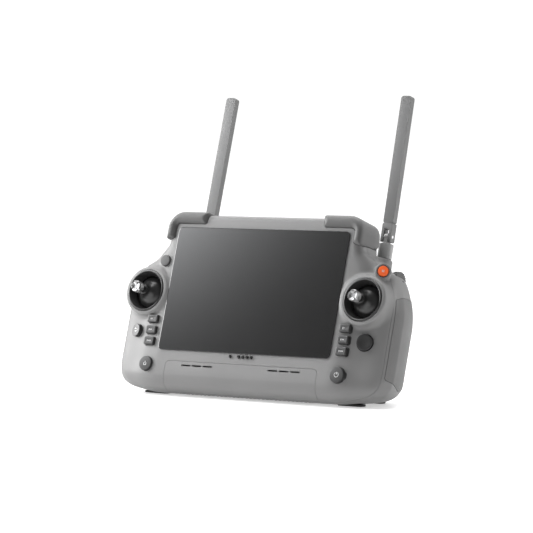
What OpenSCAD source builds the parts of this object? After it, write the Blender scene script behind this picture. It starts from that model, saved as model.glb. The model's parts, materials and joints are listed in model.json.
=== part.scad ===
// Hand-held radio transmitter with a built-in screen, two gimbal sticks and two folding antennas.
// Each sub-part is drawn in the casing's own axes: X to the right, Y from the screen to the back,
// Z up the screen, with the centre of the screen's face at the origin. in_place() then leans the
// whole casing back on its feet, with the ground at Z = 0 under the middle of the object.

/* [Casing] */
// Width across the two grips
body_w = 268; // [262:1:274]
// Width of the upper casing, between the corner bumpers
core_w = 189; // [187:0.5:192]
// Top edge, measured up from the centre of the screen
top_z = 64.6; // [64:0.1:65]
// Lowest front edge, measured down from the centre of the screen
base_z = 88; // [86:0.5:90]
// Depth of the lowest front edge behind the screen
base_y = 12; // [11:0.5:13]
// Depth of the flat back behind the screen
back_y = 42.5; // [42:0.5:44]
// Depth of the grips behind the screen
grip_y = 73; // [70:0.5:75]
// Lean of the casing when it stands on its feet
tilt = 17.5; // [15:0.5:20]
// Wall thickness of the moulded shells
wall = 2.2; // [1.8:0.1:2.4]
// Depth of the line where the front and rear shells meet
part_y = 13; // [12.5:0.5:13.5]

/* [Screen] */
// Width of the cover glass
glass_w = 168; // [166:0.5:169]
// Height of the cover glass
glass_h = 104; // [102:0.5:105]
// Thickness of the cover glass
glass_t = 1.4; // [1:0.1:1.6]

/* [Sticks] */
// Distance of each stick from the middle
stick_x = 106; // [105:0.5:107]
// Height of the sticks' centres
stick_z = -3.2; // [-4:0.1:-2]
// Outer radius of the black ring round each stick
ring_r = 17.5; // [17:0.1:18]
// Length of each stick in front of the screen
stick_len = 15.5; // [14:0.5:18]

/* [Antennas] */
// Distance of each antenna from the middle
antenna_x = 88.5; // [87:0.5:90]
// Depth of the antennas behind the screen
antenna_y = 48.5; // [48:0.5:50]
// Height of the antennas' tips
antenna_top = 178; // [170:1:185]
// How far the right antenna leans forward, in degrees
antenna_lean = 2.2; // [0:0.1:3]
// Width of an antenna's blade
blade_w = 9.6; // [9:0.1:11]
// Thickness of an antenna's blade
blade_t = 5.6; // [5:0.1:6]

/* [Controls] */
// Distance of the key columns from the middle
key_x = 93.9; // [93.5:0.1:94.5]
// Height of the uppermost key
key_z = -26.6; // [-27:0.1:-26]
// Distance from one key to the next
key_pitch = 9.35; // [9:0.05:9.5]
// Gap round a key or a button
gap = 0.3; // [0.25:0.05:0.35]

/* [Hidden] */
$fn = 48;

LEFT = -1;
RIGHT = 1;
half_w = body_w / 2;
front_y = 0.6;
feet_h = 0.8;
far = 400;

// Height of the ground under the leaning casing, and of its flat underside at depth y
ground = -base_z * cos(tilt) - base_y * sin(tilt);
function under_z(y) = (ground + feet_h + y * sin(tilt)) / cos(tilt);

// The object reaches from its rounded chin to the tops of its antennas
chin_r = 16;
chin_y = front_y + chin_r;
chin_z = under_z(chin_y) + chin_r / cos(tilt);
front_reach = chin_y * cos(tilt) + chin_z * sin(tilt) - chin_r;
rear_reach = (antenna_y + blade_t / 2) * cos(tilt) + antenna_top * sin(tilt);
middle = (front_reach + rear_reach) / 2;

module in_place() {
    translate([0, -middle, -ground]) rotate([-tilt, 0, 0]) children();
}

// ---- outlines: lists of corners [x, y, radius], counter-clockwise ----

function unit(v) = v / norm(v);
function turned(v, a) = [v.x * cos(a) - v.y * sin(a), v.x * sin(a) + v.y * cos(a)];
function flat2(c) = [c.x, c.y];

// Corner b between a and c, moved inwards by d and rounded with an arc
function round_corner(a, b, c, r, d, steps) =
    let (u = unit(a - b), w = unit(c - b), turn = cross(b - a, c - b) > 0 ? 1 : -1)
    let (half = acos(u * w) / 2, out = unit(u + w), arc_r = max(r - turn * d, 0.3))
    let (tip = b + turn * out * d / sin(half), centre = tip + out * arc_r / sin(half))
    let (start = tip + u * arc_r / tan(half) - centre, sweep = turn * (180 - 2 * half))
    [for (i = [0:steps]) centre + turned(start, sweep * i / steps)];

function outline(corners, d = 0, steps = 4) =
    let (n = len(corners))
    [for (i = [0:n - 1])
        let (a = corners[(i + n - 1) % n], b = corners[i], c = corners[(i + 1) % n])
        each round_corner(flat2(a), flat2(b), flat2(c), b[2], d, steps)];

function both_sides(right) =
    concat(right, [for (i = [len(right) - 1:-1:0]) [-right[i].x, right[i].y, right[i][2]]]);

function rounded_box(w, h, r) =
    [[w / 2, -h / 2, r], [w / 2, h / 2, r], [-w / 2, h / 2, r], [-w / 2, -h / 2, r]];

// ---- the outer form: where three outlines agree ----

// From the front, in X and Z
FRONT = both_sides([[half_w, -base_z, 30], [half_w, -10, 30], [half_w - 12, 22, 9],
    [half_w - 27, 28.5, 10], [core_w / 2 + 0.5, 38, 4], [core_w / 2, top_z, 13]]);

// From above, in X and Y: flat front, sloping flanks, round sides and deep grips
flank_x = 101;
edge_x = half_w - 7;
edge_y = 9.5;
SECTION = both_sides([[flank_x, front_y, 24], [edge_x, edge_y, 10], [half_w, 20, 8],
    [half_w, 25, 10], [half_w - 21, grip_y - 4, 12], [half_w - 37, grip_y, 10], [84, 60, 8],
    [72, back_y, 8]]);

// From the side, in Y and Z: chin, flat underside, grip, sloping shoulder, back and top
slope_top = [back_y, 27];
slope_low = [grip_y, -8];
SIDE = [[front_y, under_z(front_y), chin_r], [grip_y, under_z(grip_y), 14],
    [slope_low.x, slope_low.y, 14], [slope_top.x, slope_top.y, 10], [back_y, top_z, 7],
    [front_y, top_z, 5]];

module from_front(y0, y1) {
    translate([0, y1, 0]) rotate([90, 0, 0]) linear_extrude(y1 - y0) children();
}

module from_side(x0, x1) {
    translate([x0, 0, 0]) rotate([90, 0, 90]) linear_extrude(x1 - x0) children();
}

module block(x, y, z) {
    translate([x[0], y[0], z[0]]) cube([x[1] - x[0], y[1] - y[0], z[1] - z[0]]);
}

// From above, where the casing behind the screen's top is rounded off at its back corners
crown_z = 36.5;
crown_x = core_w / 2 + 2;
CROWN = both_sides([[crown_x, -30, 1], [crown_x, back_y + 0.3, 27]]);

module crown(d) {
    translate([0, 0, -far]) linear_extrude(2 * far) polygon(outline(CROWN, d, 8));
}

module form(d = 0) {
    intersection() {
        from_front(-far, far) polygon(outline(FRONT, d));
        translate([0, 0, -far]) linear_extrude(2 * far) polygon(outline(SECTION, d));
        from_side(-far, far) polygon(outline(SIDE, d));
        union() {
            block([-far, far], [-far, far], [-far, crown_z - d]);
            crown(d);
        }
    }
}

module mirrored() {
    children();
    mirror([1, 0, 0]) children();
}

// ---- places on the casing: local Z points out of the surface ----

module on_front(side, x, z, y = front_y, turn = 0) {
    translate([side * x, y, z]) rotate([0, 0, side * turn]) rotate([90, 0, 0]) children();
}

flank_turn = atan2(edge_y - front_y, edge_x - flank_x);
function flank_y(x) = front_y + (x - flank_x) * tan(flank_turn);

module on_flank(side, x, z) {
    on_front(side, x, z, flank_y(x), flank_turn) children();
}

slope_turn = atan2(slope_top.y - slope_low.y, slope_low.x - slope_top.x);

// On the shoulder's slope, a share t of the way down it
module on_slope(x, t) {
    p = slope_top + (slope_low - slope_top) * t;
    translate([x, p.x, p.y]) rotate([-slope_turn, 0, 0]) children();
}

module on_grip(side, x, z) {
    translate([side * x, grip_y, z]) rotate([-90, 0, 0]) children();
}

// ---- buttons, keys and wheels ----

rim = 1;
under = wall + 0.9;
skirt = 1.2;

module round_button(r, proud, depth = under) {
    translate([0, 0, -depth]) cylinder(r = r, h = depth + proud);
    translate([0, 0, -depth - skirt]) cylinder(r = r + rim, h = skirt);
}

module round_hole(r) {
    translate([0, 0, -wall - 4]) cylinder(r = r + gap, h = wall + 12);
}

key_w = 10;
key_h = 6.6;

module key_shape(grow, r = 1.3) {
    polygon(outline(rounded_box(key_w + grow, key_h + grow, r)));
}

module key_button() {
    translate([0, 0, -under]) linear_extrude(under + 0.7) key_shape(0);
    translate([0, 0, -under - skirt]) linear_extrude(skirt) key_shape(1.4);
}

function key_row(i) = key_z - i * key_pitch;

axle_r = 1.5;
axle_bore = 1.55;

// A notched wheel on a short axle along X
module wheel(r, w, notches) {
    rotate([0, 90, 0]) {
        difference() {
            cylinder(r = r, h = w, center = true);
            for (i = [0:notches - 1]) rotate(i * 360 / notches) translate([r + 0.3, 0, -w])
                cylinder(r = 0.9, h = 2 * w, $fn = 16);
        }
        cylinder(r = axle_r, h = w + 5, center = true);
    }
}

// Two ribs inside the casing that carry a wheel's axle
module wheel_ribs(w, reach) {
    mirrored() block([w / 2 + 0.8, w / 2 + 2.6], [-5, 5], [-4, reach]);
}

module wheel_bore(r, w) {
    rotate([0, 90, 0]) cylinder(r = r + 0.5, h = w + 2 * gap, center = true);
    rotate([0, 90, 0]) cylinder(r = axle_bore, h = w + 8, center = true);
}

dial_r = 8.5;
dial_w = 5;
dial_x = 118;
dial_y = 28;
dial_z = 18.5;
scroll_r = 7;
scroll_w = 6;
scroll_x = 93;
scroll_t = 0.42;
scroll_sink = 3.6;

module at_dial(side) {
    translate([side * dial_x, dial_y, dial_z]) children();
}

module at_scroll() {
    on_slope(scroll_x, scroll_t) translate([0, 0, -scroll_sink]) children();
}

// ---- places of the round buttons ----

back_x = 111.7;
back_z = -36.3;
back_r = 5.2;
five_r = 6.5;
home_x = 93.5;
home_z = -64.3;
home_r = 6;
power_r = 6.4;
authority_x = 92.5;
authority_z = 23;
authority_r = 4.6;
pause_x = 116.8;
pause_z = 21.9;
pause_y = 6.2;
pause_turn = 28;
pause_r = 4.2;
pause_boss = 6.6;
trigger_x = 108;
trigger_t = 0.5;
trigger_r = 5.5;
rear_x = 102;
rear_z = -22;
rear_r = 5.5;
rear_depth = 7;
mode_x = -105.5;
mode_t = 0.2;

module at_pause() {
    on_front(RIGHT, pause_x, pause_z, pause_y, pause_turn) children();
}

// ---- casing ----

bumper_y = 34;
bumper_x = core_w / 2 + 1.5;
bumper_top = top_z + 0.9;
BUMPER = [[58, 54.9, 2], [87.2, 54.9, 3], [87.2, 42.4, 2], [bumper_x, 40.2, 2],
    [bumper_x, bumper_top, 15], [56.5, bumper_top, 2]];

module bumper_block(d = 0) {
    mirrored() intersection() {
        from_front(-0.2 - d, bumper_y + d) polygon(outline(BUMPER, -d));
        crown(-1.2 - d);
    }
}

module cavity() {
    difference() {
        form(wall);
        bumper_block(wall);
    }
}

panel_w = 148.4;
panel_top = -60.6;
module panel_region(d = 0) {
    from_front(-5, part_y) polygon(outline([[panel_w / 2 + d, -120, 1],
        [panel_w / 2 + d, panel_top + d, 4], [-panel_w / 2 - d, panel_top + d, 4],
        [-panel_w / 2 - d, -120, 1]]));
}

grille_w = 124;
grille_y = [17, 39];
module grille_region() {
    block([-grille_w / 2, grille_w / 2], grille_y, [-100, -70]);
}

pad_t = 1.5;
PAD = [[15, -63, 2], [40, -67, 3], [64, -62, 3], [90, -50, 1], [90, -2, 1], [46, 8, 3],
    [24, 5, 3], [15, 1, 2]];
module pad_skin() {
    difference() {
        mirrored() intersection() {
            form();
            from_side(95, far) polygon(outline(PAD));
        }
        form(pad_t);
    }
}

module gimbal_place(side) {
    on_front(side, stick_x, stick_z, 0) children();
}

pivot = -18;
module gimbal_holes() {
    for (side = [LEFT, RIGHT]) gimbal_place(side)
        translate([0, 0, pivot]) cylinder(r = ring_r, h = 40);
}

lip = 2.4;
// Room behind the pause button for its skirt
module pause_pocket() {
    at_pause() translate([0, 0, -wall - 8]) cylinder(r = pause_r + rim + gap, h = 8);
}

module front_shell() {
    color([0.62, 0.62, 0.63]) in_place() difference() {
        union() {
            intersection() {
                form();
                block([-far, far], [-far, part_y], [-far, far]);
            }
            for (side = [LEFT, RIGHT]) gimbal_place(side) translate([0, 0, -part_y])
                cylinder(r = ring_r + lip, h = part_y);
            at_pause() translate([0, 0, -3.5]) cylinder(r = pause_boss, h = 4.1);
        }
        cavity();
        gimbal_holes();
        bumper_block();
        panel_region();
        from_front(-5, front_y + 0.9) polygon(outline(rounded_box(glass_w, glass_h, 4)));
        from_front(-5, 8) polygon(outline(rounded_box(glass_w - 7, glass_h - 6, 2)));
        for (side = [LEFT, RIGHT], i = [0:2]) on_front(side, key_x, key_row(i))
            translate([0, 0, -wall - 4]) linear_extrude(12) key_shape(2 * gap);
        on_flank(LEFT, back_x, back_z) round_hole(back_r);
        on_flank(RIGHT, back_x, back_z) round_hole(five_r + 0.4);
        on_front(LEFT, home_x, home_z) round_hole(home_r);
        on_front(RIGHT, home_x, home_z) round_hole(power_r);
        on_front(LEFT, authority_x, authority_z) round_hole(authority_r);
        at_pause() round_hole(pause_r);
        pause_pocket();
        light_windows(-5);
    }
}

module rear_shell() {
    color([0.58, 0.58, 0.59]) in_place() difference() {
        union() {
            difference() {
                intersection() {
                    form();
                    block([-far, far], [part_y, far], [-far, far]);
                }
                cavity();
            }
            intersection() {
                form(wall / 2);
                union() {
                    for (side = [LEFT, RIGHT]) at_dial(side) wheel_ribs(dial_w, 14);
                    at_scroll() wheel_ribs(scroll_w, 8);
                    for (p = screw_places) translate([p.x, part_y, p.y]) rotate([-90, 0, 0])
                        cylinder(r = 4, h = back_y - part_y - 1);
                    for (p = insert_places) translate([p.x, back_y - 8.5, p.y])
                        rotate([-90, 0, 0]) cylinder(r = 5.2, h = 8);
                }
            }
            for (side = [LEFT, RIGHT]) antenna_boss(side);
        }
        bumper_block();
        pad_skin();
        grille_region();
        for (side = [LEFT, RIGHT]) at_dial(side) wheel_bore(dial_r, dial_w);
        at_scroll() wheel_bore(scroll_r, scroll_w);
        trigger_holes();
        pause_pocket();
        on_slope(mode_x, mode_t) mode_slot();
        vent_slots();
        bay_cut();
        latch_slot();
        port_cut();
        for (p = screw_places) at_back(p) {
            translate([0, 0, -40]) cylinder(r = 1.4, h = 60);
            translate([0, 0, -2.2]) cylinder(r = 2.8, h = 10);
        }
        for (p = insert_places) at_back(p) translate([0, 0, -7]) cylinder(r = 3.1, h = 10);
        foot_pads(0.1);
        for (side = [LEFT, RIGHT]) antenna_place(side) translate([0, 0, knuckle_z - 8])
            cylinder(r = 3.05, h = 20);
    }
}

module trigger_holes() {
    for (side = [LEFT, RIGHT]) {
        on_slope(side * trigger_x, trigger_t) round_hole(trigger_r);
        on_grip(side, rear_x, rear_z) round_hole(rear_r);
    }
}

module at_back(p) {
    translate([p.x, back_y, p.y]) rotate([-90, 0, 0]) children();
}

screw_places = [[64, 50], [-64, 50], [64, -64], [-64, -64]];
insert_places = [[64, 12], [-64, 12], [64, -48], [-64, -48]];

// Three slots on each side of the lower panel, over the loudspeakers
slot_w = 9.4;
slot_pitch = 10.8;
slot_x = 31.8;
module speaker_slots() {
    mirrored() for (i = [0:2]) translate([slot_x + i * slot_pitch, 0, -64])
        from_front(-5, 8) polygon(outline(rounded_box(slot_w, 1.3, 0.6)));
}

module lower_panel() {
    color([0.62, 0.62, 0.63]) in_place() difference() {
        intersection() {
            form();
            panel_region(-0.15);
        }
        form(wall - 0.2);
        speaker_slots();
    }
}

module cover_glass() {
    color([0.12, 0.12, 0.13]) in_place() from_front(0, glass_t)
        polygon(outline(rounded_box(glass_w - 0.3, glass_h - 0.3, 4)));
}

module display_panel() {
    color([0.2, 0.2, 0.22]) in_place() from_front(glass_t, 5)
        polygon(outline(rounded_box(glass_w - 8, glass_h - 7, 1)));
}

module corner_bumpers() {
    color([0.4, 0.4, 0.4]) in_place() bumper_block();
}

module grip_pads() {
    color([0.42, 0.42, 0.43]) in_place() difference() {
        intersection() {
            pad_skin();
            block([-far, far], [part_y, far], [-far, far]);
        }
        trigger_holes();
    }
}

light_z = -54.5;
light_x = [-10.9, -2.5, 1.6, 5.7, 9.7];
module light_windows(front) {
    for (x = light_x) translate([x, 0, light_z]) from_front(front, 4)
        polygon(outline(rounded_box(1.8, 2.6, 0.8)));
}

module status_lights() {
    color([0.15, 0.15, 0.16]) in_place() light_windows(front_y - 0.1);
}

// ---- inside the casing ----

socket_x = [-20, -4, 9, 22];
socket_w = [14, 9, 12, 9];
module main_board() {
    color([0.1, 0.35, 0.2]) in_place() difference() {
        union() {
            block([-75, 75], [7, 8.6], [-46, 51]);
            block([-32, 32], [7, 8.6], [50, 56]);
            block([-24, 8], [8.6, 9.6], [18, 44]);
            block([-70, -56], [8.6, 11], [-20, 10]);
            block([54, 70], [8.6, 10.6], [-30, 20]);
            block([-30, 30], [8.6, 14.5], [50, 55]);
            for (i = [0:3]) block([socket_x[i] - socket_w[i] / 2, socket_x[i] + socket_w[i] / 2],
                [14.5, 21.3], [47, 61.2]);
        }
        for (i = [0:3]) block([socket_x[i] - socket_w[i] / 2 + 0.8,
            socket_x[i] + socket_w[i] / 2 - 0.8], [16.6, 19.4], [51, 70]);
    }
}

board_y = 15;
module button_boards() {
    color([0.1, 0.35, 0.2]) in_place() {
        mirrored() block([87, 119], [board_y, board_y + 1.2], [-72, -25]);
        for (side = [LEFT, RIGHT], i = [0:2]) switch_post(side * key_x, key_row(i), 6.2);
        switch_post(-home_x, home_z, 6.2);
        switch_post(home_x, home_z, 6.2);
        switch_post(-back_x + 1, back_z, 10.6);
    }
}

module switch_post(x, z, y) {
    translate([x, y, z]) rotate([-90, 0, 0]) cylinder(r = 2, h = board_y - y);
}

module heat_sink() {
    color([0.75, 0.75, 0.77]) in_place() {
        block([-30, 30], [9.6, 12], [17, 46]);
        for (i = [0:9]) block([-30 + i * 6.4, -28.8 + i * 6.4], [12, 22], [17, 46]);
    }
}

fan_z = 35;
fan_y = 24;
fan_r = 18;
module at_fan() {
    translate([0, fan_y, fan_z]) rotate([-90, 0, 0]) children();
}

module fan_frame() {
    color([0.15, 0.15, 0.15]) in_place() at_fan() difference() {
        union() {
            difference() {
                translate([-20, -20, 0]) cube([40, 40, 10]);
                translate([0, 0, -1]) cylinder(r = fan_r + 0.6, h = 12);
            }
            translate([0, 0, 8.5]) cylinder(r = 8, h = 1.5);
            for (a = [0:120:240]) rotate(a) translate([0, -1.5, 8.5]) cube([19, 3, 1.5]);
            translate([0, 0, 2]) cylinder(r = axle_r, h = 7);
        }
        for (x = [-17, 17], y = [-17, 17]) translate([x, y, -1]) cylinder(r = 1.6, h = 12);
    }
}

module fan_rotor() {
    color([0.2, 0.2, 0.2]) in_place() at_fan() difference() {
        union() {
            translate([0, 0, 1]) cylinder(r = 8, h = 7);
            for (i = [0:6]) rotate(i * 360 / 7) translate([7, 0, 4.5]) rotate([35, 0, 0])
                translate([0, -0.6, -3]) cube([10.4, 1.2, 6]);
        }
        translate([0, 0, 1.8]) cylinder(r = axle_bore, h = 8);
    }
}

module internal_battery() {
    color([0.15, 0.25, 0.45]) in_place() from_front(9.8, 17)
        translate([0, -17]) polygon(outline(rounded_box(84, 52, 4)));
}

bay_w = 100;
bay_h = 66;
bay_z = -24;
module bay_cut() {
    translate([0, 0, bay_z]) {
        from_front(back_y - 8, back_y + 5) polygon(outline(rounded_box(bay_w, bay_h, 5)));
        from_front(back_y - 1.2, back_y + 5)
            polygon(outline(rounded_box(bay_w + 12, bay_h + 10, 8)));
    }
}

module battery_pack() {
    color([0.13, 0.13, 0.14]) in_place() translate([0, 0, bay_z]) difference() {
        from_front(19, 39) polygon(outline(rounded_box(bay_w - 4, bay_h - 4, 5)));
        from_front(37, 41) polygon(outline(rounded_box(24, 8, 3)));
    }
}

module battery_cover() {
    color([0.58, 0.58, 0.59]) in_place() translate([0, 0, bay_z]) difference() {
        union() {
            from_front(back_y - 1.1, back_y + 0.2)
                polygon(outline(rounded_box(bay_w + 11.6, bay_h + 9.6, 7.8)));
            from_front(back_y - 2.2, back_y - 1)
                polygon(outline(rounded_box(bay_w - 0.6, bay_h - 0.6, 4.7)));
        }
        for (i = [-2:2]) translate([0, 0, -22 + i * 3]) from_front(back_y - 0.4, back_y + 5)
            polygon(outline(rounded_box(36, 1.4, 0.6)));
    }
}

latch_z = 21;
module latch_slot() {
    block([-7.3, 7.3], [back_y - 8, back_y + 5], [latch_z - 5.3, latch_z + 3.3]);
}

module cover_latch() {
    color([0.3, 0.3, 0.3]) in_place() difference() {
        union() {
            block([-7, 7], [back_y - wall - 0.4, back_y + 0.6], [latch_z - 3, latch_z + 3]);
            block([-9, 9], [back_y - wall - 1.6, back_y - wall - 0.3],
                [latch_z - 4, latch_z + 5]);
        }
        for (i = [-1:1]) block([-5, 5], [back_y + 0.1, back_y + 2],
            [latch_z + i * 1.8 - 0.4, latch_z + i * 1.8 + 0.4]);
    }
}

module vent_slots() {
    for (i = [-5:5]) translate([i * 5.2, 0, 41])
        from_front(back_y - 8, back_y + 5) polygon(outline(rounded_box(2.6, 22, 1.2)));
}

module speakers() {
    color([0.12, 0.12, 0.12]) in_place() mirrored() translate([slot_x + slot_pitch, 0, -66])
        difference() {
            from_front(4.4, 10.5) polygon(outline(rounded_box(32, 10, 3)));
            from_front(3, 5) polygon(outline(rounded_box(26, 6, 2)));
        }
}

module intake_grille() {
    color([0.3, 0.3, 0.31]) in_place() difference() {
        intersection() {
            form();
            block([-grille_w / 2 + 0.1, grille_w / 2 - 0.1],
                [grille_y[0] + 0.1, grille_y[1] - 0.1], [-100, -70]);
        }
        form(wall);
        for (i = [-14:14]) translate([i * 4.1, 28, -80])
            linear_extrude(60, center = true) polygon(outline(rounded_box(2.2, 17, 1)));
    }
}

// The sockets' recess in the top edge, under a hinged rubber flap
port_w = 62;
port_y = [13.6, 22.8];
flap_t = 1.2;
hinge_y = 22.1;
module port_cut() {
    block([-port_w / 2 - 0.3, port_w / 2 + 0.3], [port_y[0] - 0.3, port_y[1]],
        [top_z - flap_t - 0.1, top_z + 9]);
    for (i = [0:3]) block([socket_x[i] - socket_w[i] / 2 - 0.3,
        socket_x[i] + socket_w[i] / 2 + 0.3], [14.2, 21.6], [top_z - 5, top_z + 9]);
}

module port_cover() {
    color([0.4, 0.4, 0.4]) in_place() {
        block([-port_w / 2, port_w / 2], [port_y[0], hinge_y], [top_z - flap_t, top_z]);
        translate([0, hinge_y, top_z - flap_t / 2]) rotate([0, 90, 0])
            cylinder(r = flap_t / 2, h = port_w, center = true);
    }
}

insert_bore = 1.65;
module mount_inserts() {
    color([0.8, 0.65, 0.3]) in_place() for (p = insert_places) at_back(p) difference() {
        translate([0, 0, -7]) cylinder(r = 3.1, h = 7);
        translate([0, 0, -6]) cylinder(r = insert_bore, h = 10);
    }
}

module case_screws() {
    color([0.25, 0.25, 0.25]) in_place() for (p = screw_places) at_back(p) difference() {
        union() {
            translate([0, 0, -26]) cylinder(r = 1.4, h = 25);
            translate([0, 0, -2.2]) cylinder(r = 2.6, h = 1.8);
        }
        translate([0, 0, -1.4]) cylinder(r = 1.2, h = 4, $fn = 6);
    }
}

// Rubber feet on the flat underside, parallel to the ground
module foot_pads(d = 0) {
    mirrored() for (y = [27, 55]) translate([0, y, under_z(y)]) rotate([tilt, 0, 0])
        translate([95, 0, -feet_h - d]) linear_extrude(2 * feet_h + d)
        polygon(outline(rounded_box(24, 8, 3)));
}

module feet() {
    color([0.15, 0.15, 0.15]) in_place() foot_pads();
}

// ---- gimbal sticks ----

dome_r = 17;
dome_t = 1;
bail_r = 13.4;
barrel_r = ring_r + 0.4;
neck_r = bail_r + 0.4;
barrel_t = 1.9;
module gimbal_housings() {
    color([0.1, 0.1, 0.1]) in_place() for (side = [LEFT, RIGHT]) gimbal_place(side)
        difference() {
            rotate_extrude() polygon([[ring_r, -part_y - 0.2], [ring_r, 0.5],
                [ring_r - 1.2, 0.9], [13.4, pivot + 11.25], [15.3, pivot + 8.8],
                [16.8, pivot + 4.6], [barrel_r, pivot + 2.8], [barrel_r, pivot - 0.8],
                [neck_r, pivot - 3.6], [neck_r, -30], [6, -30], [6, -32], [neck_r + 1.6, -32],
                [neck_r + 1.6, pivot - 4.6], [barrel_r + barrel_t, pivot - 1.7],
                [barrel_r + barrel_t, -part_y - 0.2]]);
            translate([0, 0, pivot]) rotate([0, 90, 0])
                cylinder(r = axle_bore, h = 60, center = true);
        }
}

module gimbal_yoke() {
    difference() {
        union() {
            translate([0, 0, pivot - 2.5]) cylinder(r = bail_r, h = 5);
            translate([0, 0, pivot]) rotate([0, 90, 0])
                cylinder(r = axle_r, h = 2 * barrel_r + 3, center = true);
        }
        translate([0, 0, pivot - 6]) cylinder(r = bail_r - 3, h = 12);
        translate([0, 0, pivot]) rotate([90, 0, 0])
            cylinder(r = axle_bore, h = 60, center = true);
    }
}

shaft_r = 3.2;
cap_h = 7;
cap_r = 4.7;
stud_r = 2;
stud_h = 4;
module stick() {
    cap_base = stick_len - cap_h;
    translate([0, 0, pivot - 4]) cylinder(r = 4.2, h = 8);
    translate([0, 0, pivot]) cylinder(r = shaft_r, h = cap_base - pivot);
    translate([0, 0, pivot]) rotate([90, 0, 0])
        cylinder(r = axle_r, h = 2 * bail_r - 0.4, center = true);
    translate([0, 0, cap_base]) cylinder(r = stud_r, h = stud_h);
}

dome_edge = 64;
module stick_dome() {
    hole = asin(shaft_r / (dome_r - dome_t));
    translate([0, 0, pivot]) rotate_extrude() polygon(concat(
        [for (i = [0:8]) dome_r * turned([0, 1], -hole - i * (dome_edge - hole) / 8)],
        [for (i = [8:-1:0]) (dome_r - dome_t)
            * turned([0, 1], -hole - i * (dome_edge - hole) / 8)]));
    rotate_extrude() polygon([[shaft_r, -0.6], [5.6, -2.1], [5.2, 0.6], [4.4, 3.4],
        [shaft_r, 3.8]]);
}

// Knurled end cap with four prongs
module stick_cap() {
    cap_base = stick_len - cap_h;
    translate([0, 0, cap_base]) difference() {
        cylinder(r = cap_r, h = cap_h);
        translate([0, 0, -1]) cylinder(r = stud_r, h = 1 + stud_h);
        translate([0, 0, cap_h - 2]) cylinder(r = cap_r - 2, h = 3);
        for (a = [0, 90]) rotate(a + 45) translate([-10, -0.9, cap_h - 2]) cube([20, 1.8, 3]);
        for (i = [0:11]) rotate(i * 30) translate([cap_r + 0.35, 0, 1])
            cylinder(r = 0.8, h = cap_h - 3.4, $fn = 16);
    }
}

module gimbal_yoke_left() {
    color([0.3, 0.3, 0.3]) in_place() gimbal_place(LEFT) gimbal_yoke();
}

module gimbal_yoke_right() {
    color([0.3, 0.3, 0.3]) in_place() gimbal_place(RIGHT) gimbal_yoke();
}

module stick_left() {
    color([0.12, 0.12, 0.12]) in_place() gimbal_place(LEFT) stick();
}

module stick_right() {
    color([0.12, 0.12, 0.12]) in_place() gimbal_place(RIGHT) stick();
}

module stick_dome_left() {
    color([0.08, 0.08, 0.08]) in_place() gimbal_place(LEFT) stick_dome();
}

module stick_dome_right() {
    color([0.08, 0.08, 0.08]) in_place() gimbal_place(RIGHT) stick_dome();
}

module stick_cap_left() {
    color([0.8, 0.8, 0.8]) in_place() gimbal_place(LEFT) stick_cap();
}

module stick_cap_right() {
    color([0.8, 0.8, 0.8]) in_place() gimbal_place(RIGHT) stick_cap();
}

// ---- keys and buttons ----

module one_key(side, i) {
    color([0.2, 0.2, 0.2]) in_place() on_front(side, key_x, key_row(i)) key_button();
}

module left_key_1() {
    one_key(LEFT, 0);
}

module left_key_2() {
    one_key(LEFT, 1);
}

module left_key_3() {
    one_key(LEFT, 2);
}

module right_key_1() {
    one_key(RIGHT, 0);
}

module right_key_2() {
    one_key(RIGHT, 1);
}

module right_key_3() {
    one_key(RIGHT, 2);
}

module back_button() {
    color([0.2, 0.2, 0.2]) in_place() on_flank(LEFT, back_x, back_z) round_button(back_r, 0.6);
}

module home_button() {
    color([0.2, 0.2, 0.2]) in_place() on_front(LEFT, home_x, home_z) round_button(home_r, 0.5);
}

module power_button() {
    color([0.2, 0.2, 0.2]) in_place() on_front(RIGHT, home_x, home_z)
        round_button(power_r, 0.5);
}

module authority_button() {
    color([0.4, 0.4, 0.4]) in_place() on_front(LEFT, authority_x, authority_z)
        round_button(authority_r, 0.2);
}

module pause_button() {
    color([0.95, 0.4, 0.15]) in_place() at_pause() round_button(pause_r, 0.8);
}

// The five-way button: a frame and a rocker tilt it, and its cap slides on the rocker's stem
five_stem_r = 1.6;
five_axle_r = 0.9;
five_pivot = -8.2;
module five_way_frame() {
    color([0.5, 0.5, 0.5]) in_place() on_flank(RIGHT, back_x, back_z)
        difference() {
            union() {
                block([-3.9, 3.9], [-3.9, 3.9], [-9.4, -7]);
                translate([0, 0, five_pivot]) rotate([0, 90, 0])
                    cylinder(r = five_axle_r, h = 10.4, center = true);
            }
            translate([0, 0, five_pivot]) rotate([90, 0, 0])
                cylinder(r = five_axle_r + 0.05, h = 20, center = true);
        }
}

module five_way_rocker() {
    color([0.5, 0.5, 0.5]) in_place() on_flank(RIGHT, back_x, back_z) {
        block([-3.5, 3.5], [-3.5, 3.5], [-6.8, -5.8]);
        block([-1.3, 1.3], [-5, 5], [-6.8, -5.8]);
        for (y = [-5, 4.2]) block([-1.3, 1.3], [y, y + 0.8], [-9.2, -6]);
        translate([0, 0, five_pivot]) rotate([90, 0, 0])
            cylinder(r = five_axle_r, h = 9.4, center = true);
        translate([0, 0, -6.4]) cylinder(r = five_stem_r, h = 5);
    }
}

module five_way_cap() {
    color([0.2, 0.2, 0.2]) in_place() on_flank(RIGHT, back_x, back_z) difference() {
        union() {
            translate([0, 0, -4.2]) cylinder(r = five_r, h = 5);
            translate([0, 0, -4.2]) cylinder(r = five_r + 1.3, h = 1);
        }
        translate([0, 0, -5]) cylinder(r = five_stem_r + 0.05, h = 4.6);
        translate([0, 0, 20.2]) sphere(r = 20);
    }
}

module record_button() {
    color([0.7, 0.15, 0.12]) in_place() on_slope(-trigger_x, trigger_t)
        round_button(trigger_r, 0.9);
}

module shutter_button() {
    color([0.25, 0.25, 0.25]) in_place() on_slope(trigger_x, trigger_t)
        round_button(trigger_r, 0.9);
}

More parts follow.
